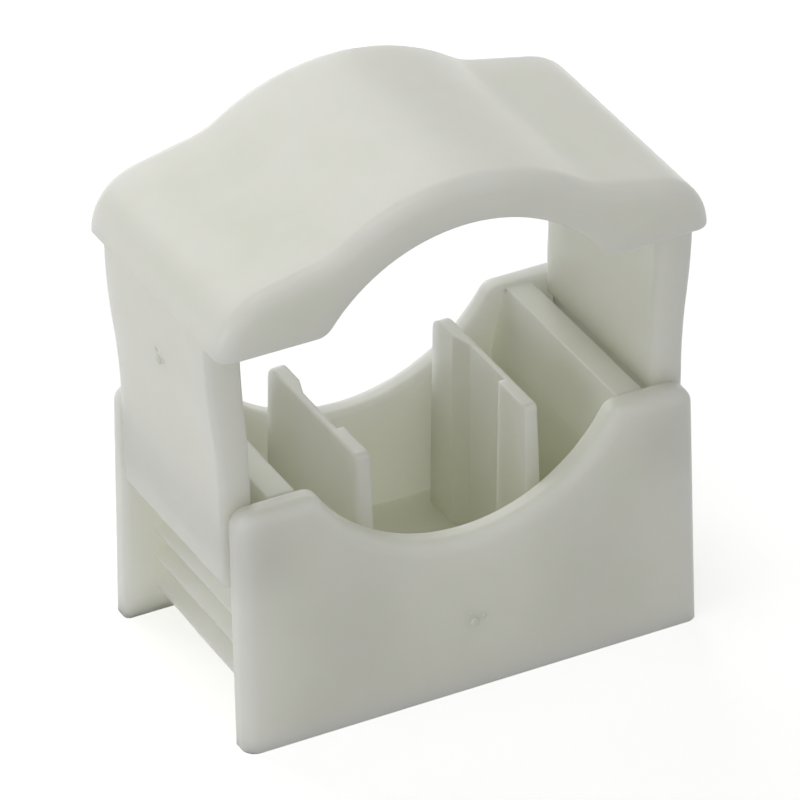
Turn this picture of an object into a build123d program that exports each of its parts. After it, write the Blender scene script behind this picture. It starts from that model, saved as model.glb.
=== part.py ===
"""Adjustable pipe clip in natural nylon: a saddle base and a ratcheting cap.

The base stands on its two side plates, whose tops are cut to a round saddle for
the pipe. Its end walls carry ratchet ribs on the outside, and two thin upright
fingers inside it centre a small pipe. The cap is an arched strap with two legs,
which go down between the plates, outside the end walls, and click over the ribs.

X runs along the plates, Y along the pipe, Z up, in millimetres. The origin is the
centre of the base's underside.
"""
import os
from math import floor, hypot, radians, tan

from build123d import *

os.makedirs("parts", exist_ok=True)

# Pipe, and how closely the two mouldings follow it
pipe_radius = 14.0
saddle_ease = 1.0
arch_ease = 0.7

# Base: side plates
base_length = 40.5
base_depth = 24.4
plate_height = 21.5
plate_thickness = 2.45
end_draft = 0.45
face_draft = 1.45
saddle_floor = 13.9
saddle_corner_radius = 1.3
plate_corner_radius = 1.4
plate_outer_radius = 1.15
plate_inner_radius = 0.5

# Base: floor and its countersunk fixing hole
floor_thickness = 4.0
screw_hole_radius = 2.25
screw_head_radius = 4.3
screw_head_angle = 90.0

# Base: end walls with ratchet ribs
wall_drop = 0.1
wall_thickness = 2.3
wall_foot_thickness = 3.6
wall_lean_height = 5.4
wall_foot_chamfer = 1.45
foot_relief_depth = 0.65
foot_relief_start = 4.9
foot_relief_ramp = 2.6
rib_setback = 2.75
rib_depth = 1.0
rib_pitch = 2.65
rib_land = 0.4
rib_nose_radius = 0.18

# Base: centring fingers
finger_gap = 13.7
finger_thickness = 1.2
finger_end_gap = 1.4
finger_rise = 0.2
finger_draft = 1.0
finger_rear_radius = 1.2
finger_front_radius = 0.5
finger_edge_radius = 0.3
hollow_depth = 0.6
hollow_rear = 4.4
hollow_front = -3.4
hollow_ramp = 1.9

# Cap: arched strap
strap_overhang = 0.15
strap_lift = 14.6
arch_rise = 6.5
arch_thickness = 3.8
shoulder_thickness = 5.09
shoulder_angle = 12.4
valley_radius = 6.0
end_radius = 5.1
brow_radius = 1.7
strap_edge_radius = 1.3
strap_foot_radius = 0.3

# Cap: legs
running_gap = 0.1
leg_side_gap = 0.1
leg_thickness = 2.8
leg_length = 22.1
leg_taper = 0.2
leg_flare = 0.97
leg_inner_flare = 0.55
leg_lip = 0.08
leg_sink = 1.0
leg_straight = 7.6
leg_outer_radius = 0.55
leg_inner_radius = 0.85
leg_root_radius = 0.5
tooth_depth = 0.9
tooth_gap = 0.05

# Places worked out from the driving sizes
saddle_radius = pipe_radius + saddle_ease
saddle_axis = saddle_floor + saddle_radius
face_lean = tan(radians(face_draft))
channel_foot_width = base_depth - 2 * plate_thickness
channel_top_width = channel_foot_width - 2 * plate_height * face_lean
plates_top_depth = base_depth - 2 * plate_height * face_lean
wall_top = plate_height - wall_drop
rib_tip = base_length / 2 - rib_setback
rib_root = rib_tip - rib_depth
rib_tops = [wall_top - i * rib_pitch for i in range(1, int(wall_top / rib_pitch))]
foot_edge = rib_tip - wall_foot_chamfer
foot_top = rib_tops[-1] - rib_land
finger_width = channel_top_width - 2 * finger_end_gap
finger_top = plate_height + finger_rise
strap_depth = plates_top_depth + 2 * strap_overhang
strap_underside = plate_height + strap_lift
arch_radius = pipe_radius + arch_ease
arch_axis = strap_underside + arch_rise - arch_radius
leg_inner = rib_tip + running_gap
leg_outer = leg_inner + leg_thickness
leg_bottom = strap_underside - leg_length
leg_knee = leg_bottom + leg_straight
leg_width = channel_top_width - 2 * leg_side_gap
strap_end = leg_outer + leg_flare + leg_lip
margin = 1.0
hair = 0.001


def rib_side() -> list[tuple[float, float]]:
    """Ribbed outer side of the right end wall, from its top down to its foot."""
    points = [(rib_root, wall_top)]
    for top in rib_tops:
        points.append((rib_root, top + rib_depth))
        points.append((rib_tip, top))
        points.append((rib_tip, top - rib_land))
        points.append((rib_root, top - rib_land))
    points[-1] = (foot_edge, 0)
    return points


def tooth_side() -> list[tuple[float, float]]:
    """Toothed inner side of the right leg, from its straight part down to its toe."""
    tooth_root = leg_inner + tooth_depth
    lowest_place = leg_bottom + tooth_depth + rib_land
    catch = wall_top - rib_land - tooth_gap
    pitches = floor((lowest_place - catch) / rib_pitch) + 1
    tooth_top = catch + pitches * rib_pitch
    points = [(tooth_root, leg_bottom)]
    while tooth_top < leg_knee:
        points.append((tooth_root, tooth_top - rib_land - tooth_depth))
        points.append((leg_inner, tooth_top - rib_land))
        points.append((leg_inner, tooth_top))
        points.append((tooth_root, tooth_top))
        tooth_top += rib_pitch
    points[-1:] = [(leg_inner, leg_knee)]
    return points


def is_in_plate_face(edge: Edge, depth: float) -> bool:
    """Whether an edge lies in the leaning faces that stand depth apart at the foot."""
    middle = edge.center()
    return middle.Z > hair and abs(abs(middle.Y) + middle.Z * face_lean - depth / 2) < hair


def is_inside_leg(edge: Edge) -> bool:
    """Whether an edge of the legs runs up the side of their inner face, above the teeth."""
    middle = edge.center()
    is_inner = leg_inner - hair < abs(middle.X) < leg_inner + leg_inner_flare + hair
    is_side = abs(abs(middle.Y) - leg_width / 2) < hair
    return is_inner and is_side and middle.Z > leg_knee - hair


def is_front_or_rear(edge: Edge) -> bool:
    """Whether an edge of the strap lies in its front or rear face."""
    return abs(abs(edge.center().Y) - strap_depth / 2) < hair


def is_on_top(edge: Edge) -> bool:
    """Whether an edge of the strap lies on its upper side or its ends."""
    middle = edge.center()
    from_axis = hypot(middle.X, middle.Z - arch_axis)
    return middle.Z > strap_underside + hair and from_axis > arch_radius + arch_thickness / 2


def is_beneath(edge: Edge) -> bool:
    """Whether an edge of the strap lies on its underside or in its arch."""
    return not is_on_top(edge)


# Base: core between the side plates, with its ribbed end walls, floor and cavity
with BuildPart() as core:
    # Outline along the plates, open at the top
    with BuildSketch(Plane.XZ) as core_outline:
        with BuildLine():
            Polyline(
                (0, 0),
                (0, floor_thickness),
                (rib_root - wall_foot_thickness, floor_thickness),
                (rib_root - wall_foot_thickness, wall_top - wall_lean_height),
                (rib_root - wall_thickness, wall_top),
                *rib_side(),
                close=True,
            )
        make_face()
        noses = core_outline.vertices().filter_by_position(Axis.X, rib_tip, rib_tip)
        fillet(noses, rib_nose_radius)
        mirror(about=Plane.YZ)
    extrude(amount=base_depth / 2, both=True)

    # Width between the leaning plates
    with BuildSketch(Plane.YZ):
        Trapezoid(channel_foot_width, plate_height, 90 - face_draft, align=(Align.CENTER, Align.MIN))
    extrude(amount=base_length, both=True, mode=Mode.INTERSECT)

    # Relief under the lowest ribs, towards the rear
    with BuildSketch(Plane.XY):
        with BuildLine():
            Polyline(
                (foot_edge, foot_relief_start),
                (foot_edge - foot_relief_depth, foot_relief_start + foot_relief_ramp),
                (foot_edge - foot_relief_depth, base_depth / 2),
                (foot_edge + margin, base_depth / 2),
                (foot_edge + margin, foot_relief_start),
                close=True,
            )
        make_face()
    slant = hypot(wall_foot_chamfer, foot_top)
    extrude(amount=slant, dir=(wall_foot_chamfer, 0, foot_top), mode=Mode.SUBTRACT)
    mirror(about=Plane.YZ, mode=Mode.INTERSECT)

# Base: one of its two centring fingers
with BuildPart() as finger:
    # Plan with a hollow in the face that grips the pipe
    with BuildSketch(Plane.XY.offset(finger_top)):
        with BuildLine():
            grip = finger_gap / 2
            Polyline(
                (grip, -finger_width / 2),
                (grip, hollow_front),
                (grip + hollow_depth, hollow_front),
                (grip + hollow_depth, hollow_rear - hollow_ramp),
                (grip, hollow_rear),
                (grip, finger_width / 2),
                (grip + finger_thickness, finger_width / 2),
                (grip + finger_thickness, -finger_width / 2),
                close=True,
            )
        make_face()
    extrude(amount=floor_thickness - finger_top, taper=-finger_draft)

    # Rounded top corners and eased edges
    finger_ends = finger.edges().filter_by(Axis.X).group_by(Axis.Z)[-1].sort_by(Axis.Y)
    fillet(finger_ends[0], finger_front_radius)
    finger_ends = finger.edges().filter_by(Axis.X).group_by(Axis.Z)[-1].sort_by(Axis.Y)
    fillet(finger_ends[-1], finger_rear_radius)
    outer_face = finger.faces().sort_by(Axis.X)[-1]
    foot_edges = finger.edges().group_by(Axis.Z)[0]
    fillet([e for e in outer_face.edges() if e not in foot_edges], finger_edge_radius)

# Base: plates, core and fingers in one moulding
with BuildPart() as base:
    # Block with drafted faces
    with BuildSketch(Plane.YZ):
        Trapezoid(base_depth, plate_height, 90 - face_draft, align=(Align.CENTER, Align.MIN))
    extrude(amount=base_length, both=True)

    # Drafted ends and a round saddle with eased corners
    with BuildSketch(Plane.XZ) as plate_outline:
        Trapezoid(base_length, plate_height, 90 - end_draft, align=(Align.CENTER, Align.MIN))
        with Locations((0, saddle_axis)):
            Circle(saddle_radius, mode=Mode.SUBTRACT)
        corners = plate_outline.vertices().group_by(Axis.Y)[-1].sort_by(Axis.X)
        fillet([corners[0], corners[-1]], plate_corner_radius)
        corners = plate_outline.vertices().filter_by_position(Axis.X, -saddle_radius, saddle_radius)
        fillet(corners.group_by(Axis.Y)[-1], saddle_corner_radius)
    extrude(amount=base_depth, both=True, mode=Mode.INTERSECT)

    # Channel between the two plates, open at both ends
    with BuildSketch(Plane.YZ):
        Trapezoid(channel_foot_width, plate_height, 90 - face_draft, align=(Align.CENTER, Align.MIN))
    extrude(amount=base_length, both=True, mode=Mode.SUBTRACT)

    # Plates well rounded outside and lightly eased inside
    fillet(base.edges().filter_by(lambda e: is_in_plate_face(e, base_depth)), plate_outer_radius)
    fillet(base.edges().filter_by(lambda e: is_in_plate_face(e, channel_foot_width)), plate_inner_radius)

    # Core and fingers
    add(core.part)
    add(finger.part)
    add(finger.part.mirror(Plane.YZ))

    # Countersunk hole for the fixing screw
    with Locations((0, 0, floor_thickness)):
        CounterSinkHole(screw_hole_radius, screw_head_radius, counter_sink_angle=screw_head_angle)

base.part.label = "base"
export_step(base.part, "parts/base.step")

# Cap: its arched strap
with BuildPart() as strap:
    # Section with sloping shoulders either side of the arch
    with BuildSketch(Plane.XZ) as strap_outline:
        slope = tan(radians(shoulder_angle))
        peak = strap_underside + shoulder_thickness + leg_inner * slope
        Polygon(
            (-strap_end, strap_underside),
            (strap_end, strap_underside),
            (strap_end, peak - strap_end * slope),
            (0, peak),
            (-strap_end, peak - strap_end * slope),
            align=None,
        )
        with Locations((0, arch_axis)):
            Circle(arch_radius + arch_thickness)
            Circle(arch_radius, mode=Mode.SUBTRACT)
        with Locations((0, strap_underside)):
            width = 2 * (strap_end + margin)
            Rectangle(width, width, align=(Align.CENTER, Align.MAX), mode=Mode.SUBTRACT)
        outer_corners = strap_outline.vertices().group_by(Axis.X)
        fillet([outer_corners[0].sort_by(Axis.Y)[-1], outer_corners[-1].sort_by(Axis.Y)[-1]], end_radius)
        brows = strap_outline.vertices().filter_by_position(Axis.X, -arch_radius, arch_radius)
        fillet(brows.group_by(Axis.Y)[0], brow_radius)
        valleys = strap_outline.vertices().filter_by_position(Axis.X, -arch_radius, arch_radius)
        fillet(valleys.group_by(Axis.Y)[-1], valley_radius)
    extrude(amount=strap_depth / 2, both=True)

    # Strap's rounded top edges, then the lightly eased ones beneath
    fillet(strap.edges().filter_by(is_front_or_rear).filter_by(is_on_top), strap_edge_radius)
    fillet(strap.edges().filter_by(is_front_or_rear).filter_by(is_beneath), strap_foot_radius)

# Cap: its two legs, toothed inside, spreading towards the strap
with BuildPart() as legs:
    with BuildSketch(Plane.XZ) as leg_outline:
        with BuildLine():
            upright = (0, 1)
            bend = strap_underside - leg_root_radius
            inner_knee = (leg_inner, leg_knee)
            inner_waist = (leg_inner + leg_inner_flare / 2, (leg_knee + bend) / 2)
            inner_root = (leg_inner + leg_inner_flare, bend)
            TangentArc(inner_knee, inner_waist, tangent=upright)
            TangentArc(inner_root, inner_waist, tangent=(0, -1))
            root_centre = (leg_inner + leg_inner_flare - leg_root_radius, bend)
            root_round = CenterArc(root_centre, leg_root_radius, 0, 90)
            outer_knee = (leg_outer, leg_knee)
            outer_waist = (leg_outer + leg_flare / 2, (leg_knee + strap_underside) / 2)
            outer_root = (leg_outer + leg_flare, strap_underside)
            buried = strap_underside + leg_sink
            Polyline(root_round @ 1, ((root_round @ 1).X, buried), (outer_root[0], buried), outer_root)
            TangentArc(outer_root, outer_waist, tangent=(0, -1))
            TangentArc(outer_knee, outer_waist, tangent=upright)
            Polyline(outer_knee, (leg_outer - leg_taper, leg_bottom), *tooth_side())
        make_face()
        mirror(about=Plane.YZ)
    extrude(amount=leg_width / 2, both=True)
    outer_edges = legs.edges().filter_by(lambda e: abs(e.center().X) > leg_outer - leg_taper)
    fillet(outer_edges.filter_by(lambda e: abs(abs(e.center().Y) - leg_width / 2) < hair), leg_outer_radius)
    fillet(legs.edges().filter_by(is_inside_leg), leg_inner_radius)

# Cap: strap and legs as one moulding
with BuildPart() as cap:
    add(strap.part)
    add(legs.part)

cap.part.label = "cap"
export_step(cap.part, "parts/cap.step")
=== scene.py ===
"""Looks of an adjustable pipe clip: its nylon, its gate marks and a plain studio.

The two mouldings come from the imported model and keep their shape. This script gives
them their nylon, adds the small marks that the moulds leave, and sets the camera, the
floor and the lights. Everything is in metres, in the frame of the part: X along the
side plates, Y along the pipe, Z up, with the origin at the centre of the underside.
"""

import logging
import math
from dataclasses import dataclass, field
from enum import Enum

import bpy
from mathutils import Matrix, Vector
from mathutils.bvhtree import BVHTree


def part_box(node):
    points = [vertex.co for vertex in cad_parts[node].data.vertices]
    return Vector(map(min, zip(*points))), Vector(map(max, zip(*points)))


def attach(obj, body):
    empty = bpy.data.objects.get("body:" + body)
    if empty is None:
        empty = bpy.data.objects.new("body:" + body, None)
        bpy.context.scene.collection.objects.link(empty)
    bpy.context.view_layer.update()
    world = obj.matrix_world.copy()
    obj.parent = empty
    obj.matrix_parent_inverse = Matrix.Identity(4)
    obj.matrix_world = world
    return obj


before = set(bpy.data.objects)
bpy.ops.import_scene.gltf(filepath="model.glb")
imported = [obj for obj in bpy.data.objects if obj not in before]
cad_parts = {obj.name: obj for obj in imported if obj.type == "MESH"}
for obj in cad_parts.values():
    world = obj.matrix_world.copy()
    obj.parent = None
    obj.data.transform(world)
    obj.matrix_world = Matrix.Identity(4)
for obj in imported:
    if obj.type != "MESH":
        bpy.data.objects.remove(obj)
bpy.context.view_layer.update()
MM = 0.001
WHITE = 1.0  # strength at which the background is white
OPAQUE = 1.0  # alpha of every colour
NOISE_MIDDLE = 0.5  # a noise texture's values lie around it

log = logging.getLogger("pipe_clip")

Colour = tuple[float, float, float]


class Body(Enum):
    """The two mouldings, by the name of the body each moves with."""

    BASE = "base"
    CAP = "cap"


class Ray(Enum):
    """Kinds of ray that see the plain white background."""

    CAMERA = "Is Camera Ray"
    GLOSSY = "Is Glossy Ray"
    TRANSMISSION = "Is Transmission Ray"


def add_node(tree: bpy.types.NodeTree, kind: str, **settings: object) -> bpy.types.Node:
    """Add a node to a tree.

    Args:
        tree: The tree to add to.
        kind: Blender's type name of the node.
        **settings: Properties of the node to set.

    Returns:
        The new node.
    """
    node = tree.nodes.new(kind)
    for name, value in settings.items():
        setattr(node, name, value)
    return node


def sees_background(tree: bpy.types.NodeTree) -> bpy.types.NodeSocket:
    """Build the test for a ray that should see the background as plain white.

    Args:
        tree: The shader tree to build in.

    Returns:
        A socket that is 1 for such a ray and 0 for one that lights the object.
    """
    path = add_node(tree, "ShaderNodeLightPath")
    total = path.outputs[Ray.CAMERA.value]
    for ray in (Ray.GLOSSY, Ray.TRANSMISSION):
        either = add_node(tree, "ShaderNodeMath", operation="MAXIMUM")
        tree.links.new(total, either.inputs[0])
        tree.links.new(path.outputs[ray.value], either.inputs[1])
        total = either.outputs[0]
    return total


@dataclass(frozen=True)
class Nylon:
    """Natural moulded nylon: off-white, satin and a little translucent."""

    name: str = "natural_nylon"
    pale: Colour = (0.87, 0.877, 0.782)
    deep: Colour = (0.85, 0.857, 0.757)
    roughness: float = 0.34
    ior: float = 1.53
    translucency: float = 1.0
    bleed: Colour = (0.97, 0.98, 1.0)
    bleed_depth: float = 6.0 * MM
    mottle_size: float = 4.5 * MM
    mottle_detail: float = 3.0
    mottle_low: float = 0.35
    mottle_high: float = 0.65
    grain_size: float = 0.35 * MM
    grain_depth: float = 0.006 * MM
    edge_softness: float = 0.3 * MM
    edge_samples: int = 6

    def build(self) -> bpy.types.Material:
        """Build the material.

        Returns:
            The material, with its pattern on object coordinates.
        """
        material = bpy.data.materials.new(self.name)
        material.use_nodes = True
        tree = material.node_tree
        shader = tree.nodes["Principled BSDF"]
        shader.inputs["Roughness"].default_value = self.roughness
        shader.inputs["IOR"].default_value = self.ior
        shader.inputs["Subsurface Weight"].default_value = self.translucency
        shader.inputs["Subsurface Radius"].default_value = self.bleed
        shader.inputs["Subsurface Scale"].default_value = self.bleed_depth
        place = add_node(tree, "ShaderNodeTexCoord")
        self._add_mottle(tree, place, shader)
        self._add_grain(tree, place, shader)
        return material

    def _add_mottle(
        self, tree: bpy.types.NodeTree, place: bpy.types.Node, shader: bpy.types.Node
    ) -> None:
        """Add the faint flow mottle that cooling leaves in the colour.

        Args:
            tree: The material's tree.
            place: The texture coordinates.
            shader: The surface shader.
        """
        noise = add_node(tree, "ShaderNodeTexNoise")
        noise.inputs["Scale"].default_value = 1 / self.mottle_size
        noise.inputs["Detail"].default_value = self.mottle_detail
        ramp = add_node(tree, "ShaderNodeValToRGB")
        low, high = ramp.color_ramp.elements
        low.position, high.position = self.mottle_low, self.mottle_high
        low.color, high.color = (*self.deep, OPAQUE), (*self.pale, OPAQUE)
        tree.links.new(place.outputs["Object"], noise.inputs["Vector"])
        tree.links.new(noise.outputs["Fac"], ramp.inputs["Fac"])
        tree.links.new(ramp.outputs["Color"], shader.inputs["Base Color"])

    def _add_grain(
        self, tree: bpy.types.NodeTree, place: bpy.types.Node, shader: bpy.types.Node
    ) -> None:
        """Add the fine grain of the mould's surface, and its softened edges.

        Args:
            tree: The material's tree.
            place: The texture coordinates.
            shader: The surface shader.
        """
        noise = add_node(tree, "ShaderNodeTexNoise")
        noise.inputs["Scale"].default_value = 1 / self.grain_size
        bump = add_node(tree, "ShaderNodeBump")
        bump.inputs["Distance"].default_value = self.grain_depth
        tree.links.new(place.outputs["Object"], noise.inputs["Vector"])
        tree.links.new(noise.outputs["Fac"], bump.inputs["Height"])
        tree.links.new(bump.outputs["Normal"], shader.inputs["Normal"])
        if self.edge_softness > 0:
            edge = add_node(tree, "ShaderNodeBevel", samples=self.edge_samples)
            edge.inputs["Radius"].default_value = self.edge_softness
            tree.links.new(edge.outputs["Normal"], bump.inputs["Normal"])


NATURAL_NYLON = Nylon()
TORN_NYLON = Nylon(
    name="torn_nylon",
    pale=(0.8, 0.8, 0.75),
    roughness=0.6,
    translucency=0.0,
    grain_size=0.12 * MM,
    edge_softness=0.0,
)


@dataclass
class Moulding:
    """One of the clip's two mouldings, which keeps the shape of its CAD node."""

    body: Body
    finish: bpy.types.Material

    def dress(self) -> bpy.types.Object:
        """Give the moulding its finish.

        Returns:
            The CAD node's object.
        """
        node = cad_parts[self.body.value]
        node.data.materials.clear()
        node.data.materials.append(self.finish)
        return node


@dataclass
class GateMark:
    """The rough spot left on a moulding where its runner was broken off.

    A torn nib stands in the middle, with a few crumbs around it. The mark lies where a
    line from the start, towards the aim, first meets the moulding.
    """

    body: Body
    start: Vector
    aim: Vector
    finish: bpy.types.Material
    radius: float = 0.4 * MM
    height: float = 0.16 * MM
    raggedness: float = 0.3
    tear_scale: float = 1.6
    spread: float = 0.9 * MM
    crumbs: int = 2
    crumb_share: float = 0.5
    seed: int = 7
    segments: int = 20
    rings: int = 12

    @property
    def name(self) -> str:
        """Name of the piece."""
        return f"{self.body.value}_gate_mark"

    def build(self) -> bpy.types.Object:
        """Build the mark on the moulding's surface.

        Returns:
            The mark, which rides on its moulding.
        """
        piece = bpy.data.objects.new(self.name, bpy.data.meshes.new(self.name))
        bpy.context.scene.collection.objects.link(piece)
        modifier = piece.modifiers.new(self.name, "NODES")
        modifier.node_group = self._build_tree()
        place, turn = self._find_place()
        values = {
            "Place": place,
            "Turn": turn,
            "Radius": self.radius,
            "Height": self.height,
            "Raggedness": self.raggedness,
            "Spread": self.spread,
            "Count": self.crumbs + 1,
            "Crumb Share": self.crumb_share,
            "Material": self.finish,
        }
        for socket in modifier.node_group.interface.items_tree:
            if socket.in_out == "INPUT":
                modifier[socket.identifier] = values[socket.name]
        plain = piece.evaluated_get(bpy.context.evaluated_depsgraph_get())
        mesh = bpy.data.meshes.new_from_object(plain)
        piece.modifiers.remove(modifier)
        piece.data = mesh
        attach(piece, self.body.value)
        return piece

    def _find_place(self) -> tuple[Vector, Vector]:
        """Find where a line from the start, towards the aim, meets the moulding.

        Returns:
            The place on the surface, and the turn that stands a mark up on it.
        """
        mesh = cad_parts[self.body.value].data
        corners = [vertex.co for vertex in mesh.vertices]
        faces = [face.vertices for face in mesh.polygons]
        surface = BVHTree.FromPolygons(corners, faces)
        place, outward, _, _ = surface.ray_cast(self.start, self.aim - self.start)
        return place, Vector(outward.to_track_quat("Z", "Y").to_euler())

    def _build_tree(self) -> bpy.types.NodeTree:
        """Build the node tree that makes a mark.

        Returns:
            The tree, with its sizes as named inputs.
        """
        tree = bpy.data.node_groups.new("gate_mark", "GeometryNodeTree")
        for label, kind in (
            ("Place", "NodeSocketVector"),
            ("Turn", "NodeSocketVector"),
            ("Radius", "NodeSocketFloat"),
            ("Height", "NodeSocketFloat"),
            ("Raggedness", "NodeSocketFloat"),
            ("Spread", "NodeSocketFloat"),
            ("Count", "NodeSocketInt"),
            ("Crumb Share", "NodeSocketFloat"),
            ("Material", "NodeSocketMaterial"),
        ):
            tree.interface.new_socket(label, in_out="INPUT", socket_type=kind)
        tree.interface.new_socket(
            "Mark", in_out="OUTPUT", socket_type="NodeSocketGeometry"
        )
        sizes = add_node(tree, "NodeGroupInput").outputs
        nib = self._add_nib(tree, sizes)
        placed = self._scatter(tree, sizes, nib)
        real = add_node(tree, "GeometryNodeRealizeInstances")
        paint = add_node(tree, "GeometryNodeSetMaterial")
        result = add_node(tree, "NodeGroupOutput")
        tree.links.new(placed, real.inputs["Geometry"])
        tree.links.new(real.outputs["Geometry"], paint.inputs["Geometry"])
        tree.links.new(sizes["Material"], paint.inputs["Material"])
        tree.links.new(paint.outputs["Geometry"], result.inputs["Mark"])
        return tree

    def _add_nib(
        self, tree: bpy.types.NodeTree, sizes: bpy.types.bpy_prop_collection
    ) -> bpy.types.NodeSocket:
        """Add the torn nib: a low dome whose surface is pushed in and out.

        Args:
            tree: The tree to build in.
            sizes: The tree's named inputs.

        Returns:
            The nib's mesh.
        """
        dome = add_node(tree, "GeometryNodeMeshUVSphere")
        dome.inputs["Segments"].default_value = self.segments
        dome.inputs["Rings"].default_value = self.rings
        dome.inputs["Radius"].default_value = 1.0
        noise = add_node(tree, "ShaderNodeTexNoise", noise_dimensions="4D")
        noise.inputs["W"].default_value = float(self.seed)
        noise.inputs["Scale"].default_value = self.tear_scale
        centred = add_node(tree, "ShaderNodeMath", operation="SUBTRACT")
        centred.inputs[1].default_value = NOISE_MIDDLE
        push = add_node(tree, "ShaderNodeMath", operation="MULTIPLY")
        outward = add_node(tree, "GeometryNodeInputNormal")
        along = add_node(tree, "ShaderNodeVectorMath", operation="SCALE")
        ragged = add_node(tree, "GeometryNodeSetPosition")
        size = add_node(tree, "ShaderNodeCombineXYZ")
        shaped = add_node(tree, "GeometryNodeTransform")
        smooth = add_node(tree, "GeometryNodeSetShadeSmooth")
        tree.links.new(noise.outputs["Fac"], centred.inputs[0])
        tree.links.new(centred.outputs[0], push.inputs[0])
        tree.links.new(sizes["Raggedness"], push.inputs[1])
        tree.links.new(outward.outputs[0], along.inputs[0])
        tree.links.new(push.outputs[0], along.inputs["Scale"])
        tree.links.new(dome.outputs["Mesh"], ragged.inputs["Geometry"])
        tree.links.new(along.outputs[0], ragged.inputs["Offset"])
        tree.links.new(sizes["Radius"], size.inputs["X"])
        tree.links.new(sizes["Radius"], size.inputs["Y"])
        tree.links.new(sizes["Height"], size.inputs["Z"])
        tree.links.new(ragged.outputs["Geometry"], shaped.inputs["Geometry"])
        tree.links.new(size.outputs[0], shaped.inputs["Scale"])
        tree.links.new(shaped.outputs["Geometry"], smooth.inputs["Geometry"])
        return smooth.outputs["Geometry"]

    def _scatter(
        self,
        tree: bpy.types.NodeTree,
        sizes: bpy.types.bpy_prop_collection,
        nib: bpy.types.NodeSocket,
    ) -> bpy.types.NodeSocket:
        """Add the crumbs around the nib, and set the whole mark on the surface.

        The first point has index 0 and is the nib. The others are crumbs, which get
        places in a square as wide as twice the spread.

        Args:
            tree: The tree to build in.
            sizes: The tree's named inputs.
            nib: The nib's mesh.

        Returns:
            The nib and its crumbs as instances, in their place.
        """
        order = add_node(tree, "GeometryNodeInputIndex")
        is_crumb = add_node(tree, "ShaderNodeMath", operation="MINIMUM")
        is_crumb.inputs[1].default_value = 1.0
        place = add_node(tree, "FunctionNodeRandomValue", data_type="FLOAT_VECTOR")
        place.inputs[0].default_value = (-1.0, -1.0, 0.0)
        place.inputs[1].default_value = (1.0, 1.0, 0.0)
        place.inputs["Seed"].default_value = self.seed
        reach = add_node(tree, "ShaderNodeMath", operation="MULTIPLY")
        spread = add_node(tree, "ShaderNodeVectorMath", operation="SCALE")
        points = add_node(tree, "GeometryNodePoints")
        share = add_node(tree, "ShaderNodeMapRange")
        share.inputs["To Min"].default_value = 1.0
        copies = add_node(tree, "GeometryNodeInstanceOnPoints")
        placed = add_node(tree, "GeometryNodeTransform")
        tree.links.new(order.outputs[0], is_crumb.inputs[0])
        tree.links.new(is_crumb.outputs[0], reach.inputs[0])
        tree.links.new(sizes["Spread"], reach.inputs[1])
        tree.links.new(place.outputs[0], spread.inputs[0])
        tree.links.new(reach.outputs[0], spread.inputs["Scale"])
        tree.links.new(sizes["Count"], points.inputs["Count"])
        tree.links.new(spread.outputs[0], points.inputs["Position"])
        tree.links.new(is_crumb.outputs[0], share.inputs["Value"])
        tree.links.new(sizes["Crumb Share"], share.inputs["To Max"])
        tree.links.new(points.outputs[0], copies.inputs["Points"])
        tree.links.new(nib, copies.inputs["Instance"])
        tree.links.new(share.outputs[0], copies.inputs["Scale"])
        tree.links.new(copies.outputs[0], placed.inputs["Geometry"])
        tree.links.new(sizes["Place"], placed.inputs["Translation"])
        tree.links.new(sizes["Turn"], placed.inputs["Rotation"])
        return placed.outputs["Geometry"]


@dataclass
class SoftBox:
    """A soft square lamp that points at the clip."""

    name: str
    direction: Vector
    level: float
    distance: float = 0.4
    size: float = 0.4
    aim: Vector = field(default_factory=lambda: Vector((0.0, 0.0, 0.02)))

    def build(self) -> bpy.types.Object:
        """Build the lamp.

        Returns:
            The lamp, which lights a white surface that faces it to its level.
        """
        lamp = bpy.data.lights.new(self.name, "AREA")
        lamp.size = self.size
        lamp.energy = self.level * math.pi**2 * self.distance**2
        holder = bpy.data.objects.new(self.name, lamp)
        away = self.direction.normalized()
        holder.location = self.aim + away * self.distance
        holder.rotation_euler = away.to_track_quat("Z", "Y").to_euler()
        bpy.context.scene.collection.objects.link(holder)
        return holder


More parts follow.
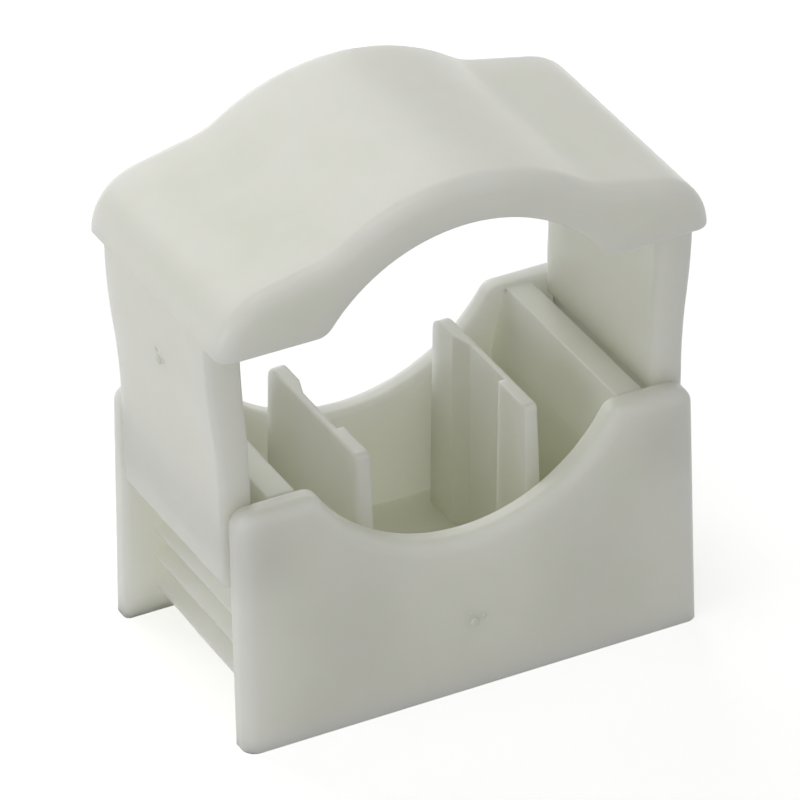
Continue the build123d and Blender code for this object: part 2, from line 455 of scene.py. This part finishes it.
@dataclass
class Studio:
    """A pale floor, a white background, soft lamps and the camera.

    The camera's angles are in radians. They, its offsets and its lens were recovered
    from the base's straight edges in the photograph.
    """

    ambient: float = 0.28
    floor_size: float = 3.0
    floor_shade: float = 0.8
    floor_glow: float = 0.57
    shadow_ground: float = 50 * MM
    plain_ground: float = 140 * MM
    bounces: int = 16
    heading: float = 0.4691179
    elevation: float = 0.5671597
    roll: float = -0.0178657
    reach: float = 650 * MM
    offset_right: float = -0.46139 * MM
    offset_up: float = 16.9995 * MM
    lens: float = 363.63
    sensor: float = 36.0
    near: float = 50 * MM
    far: float = 10.0

    def build(self) -> None:
        """Build the floor, the background, the lamps and the camera.

        Light bounces more often than usual, because the clip's pale walls face each
        other and pass light on.
        """
        self._build_floor()
        self._build_background()
        for box in self._soft_boxes():
            box.build()
        self._build_camera()
        scene = bpy.context.scene
        scene.view_settings.view_transform = "Standard"
        scene.cycles.max_bounces = self.bounces
        scene.cycles.diffuse_bounces = self.bounces

    def _soft_boxes(self) -> list[SoftBox]:
        """List the lamps, the main one above the clip and towards its left end.

        Returns:
            The lamps, not yet built.
        """
        return [
            SoftBox("key_lamp", Vector((-0.15, -0.05, 0.98)), level=0.14, size=0.16),
            SoftBox("left_lamp", Vector((-0.95, -0.12, 0.1)), level=0.19, size=0.2),
            SoftBox("rear_lamp", Vector((-0.05, 0.85, 0.4)), level=0.39),
            SoftBox("fill_lamp", Vector((0.0, -0.85, 0.5)), level=0.16, size=0.6),
        ]

    def _build_floor(self) -> None:
        """Build the floor, which keeps the clip's shadow."""
        half = self.floor_size / 2
        front = [(-half, -half, 0.0), (half, -half, 0.0)]
        back = [(half, half, 0.0), (-half, half, 0.0)]
        mesh = bpy.data.meshes.new("floor")
        mesh.from_pydata(front + back, [], [(0, 1, 2, 3)])
        mesh.materials.append(self._build_floor_material())
        floor = bpy.data.objects.new("floor", mesh)
        bpy.context.scene.collection.objects.link(floor)

    def _build_floor_material(self) -> bpy.types.Material:
        """Build the floor's material.

        It is white to the camera where the clip's shadow doesn't fall. Further out,
        where the lamps don't reach, it shines more, so that it stays white there.

        Returns:
            The material.
        """
        material = bpy.data.materials.new("pale_floor")
        material.use_nodes = True
        tree = material.node_tree
        tree.nodes.clear()
        matt = add_node(tree, "ShaderNodeBsdfDiffuse")
        matt.inputs["Color"].default_value = (*[self.floor_shade] * 3, OPAQUE)
        place = add_node(tree, "ShaderNodeTexCoord")
        distance = add_node(tree, "ShaderNodeVectorMath", operation="LENGTH")
        level = add_node(tree, "ShaderNodeMapRange", interpolation_type="SMOOTHSTEP")
        level.inputs["From Min"].default_value = self.shadow_ground
        level.inputs["From Max"].default_value = self.plain_ground
        level.inputs["To Min"].default_value = self.floor_glow
        level.inputs["To Max"].default_value = WHITE
        seen = add_node(tree, "ShaderNodeMath", operation="MULTIPLY")
        glow = add_node(tree, "ShaderNodeEmission")
        both = add_node(tree, "ShaderNodeAddShader")
        surface = add_node(tree, "ShaderNodeOutputMaterial")
        tree.links.new(place.outputs["Object"], distance.inputs[0])
        tree.links.new(distance.outputs["Value"], level.inputs["Value"])
        tree.links.new(sees_background(tree), seen.inputs[0])
        tree.links.new(level.outputs[0], seen.inputs[1])
        tree.links.new(seen.outputs[0], glow.inputs["Strength"])
        tree.links.new(matt.outputs[0], both.inputs[0])
        tree.links.new(glow.outputs[0], both.inputs[1])
        tree.links.new(both.outputs[0], surface.inputs["Surface"])
        return material

    def _build_background(self) -> None:
        """Build the world: white where it is seen, dimmer where it lights the clip."""
        world = bpy.data.worlds.new("studio")
        world.use_nodes = True
        bpy.context.scene.world = world
        tree = world.node_tree
        shade = tree.nodes["Background"]
        shade.inputs["Color"].default_value = (WHITE, WHITE, WHITE, OPAQUE)
        level = add_node(tree, "ShaderNodeMapRange")
        level.inputs["To Min"].default_value = self.ambient
        level.inputs["To Max"].default_value = WHITE
        tree.links.new(sees_background(tree), level.inputs["Value"])
        tree.links.new(level.outputs[0], shade.inputs["Strength"])

    def _build_camera(self) -> None:
        """Build the camera at the photograph's angle."""
        heading, elevation, roll = self.heading, self.elevation, self.roll
        ahead = Vector((
            math.sin(heading) * math.cos(elevation),
            math.cos(heading) * math.cos(elevation),
            -math.sin(elevation),
        ))
        level_right = Vector((math.cos(heading), -math.sin(heading), 0.0))
        level_up = level_right.cross(ahead)
        right = math.cos(roll) * level_right + math.sin(roll) * level_up
        up = math.cos(roll) * level_up - math.sin(roll) * level_right
        data = bpy.data.cameras.new("camera")
        data.sensor_width = self.sensor
        data.lens = self.lens
        data.clip_start, data.clip_end = self.near, self.far
        camera = bpy.data.objects.new("camera", data)
        bpy.context.scene.collection.objects.link(camera)
        place = right * self.offset_right + up * self.offset_up - ahead * self.reach
        turn = Matrix((right, up, -ahead)).transposed()
        camera.matrix_world = Matrix.Translation(place) @ turn.to_4x4()
        bpy.context.scene.camera = camera


def gate_marks(finish: bpy.types.Material) -> list[GateMark]:
    """Return the gate marks: on the base's front plate and on the cap's left leg.

    Args:
        finish: The finish of the torn nylon.

    Returns:
        One mark for each moulding.
    """
    plate_gate = Vector((0.0, 0.0, 6.1 * MM))
    leg_gate = Vector((0.0, 0.0, 30.3 * MM))
    outside = 2.0  # how many times as far out as the face each line starts
    base_low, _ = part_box(Body.BASE.value)
    cap_low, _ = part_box(Body.CAP.value)
    before_plate = plate_gate + Vector((0.0, outside * base_low[1], 0.0))
    beside_leg = leg_gate + Vector((outside * cap_low[0], 0.0, 0.0))
    return [
        GateMark(Body.BASE, before_plate, plate_gate, finish),
        GateMark(Body.CAP, beside_leg, leg_gate, finish),
    ]


def main() -> None:
    """Dress the two mouldings, build the studio and report each piece."""
    logging.basicConfig(level=logging.INFO, format="%(name)s: %(message)s")
    nylon = NATURAL_NYLON.build()
    for body in Body:
        piece = Moulding(body, nylon).dress()
        log.info("%s: %d faces", piece.name, len(piece.data.polygons))
    for mark in gate_marks(TORN_NYLON.build()):
        piece = mark.build()
        log.info("%s: %d faces", piece.name, len(piece.data.polygons))
    Studio().build()


if __name__ == "__main__":
    main()
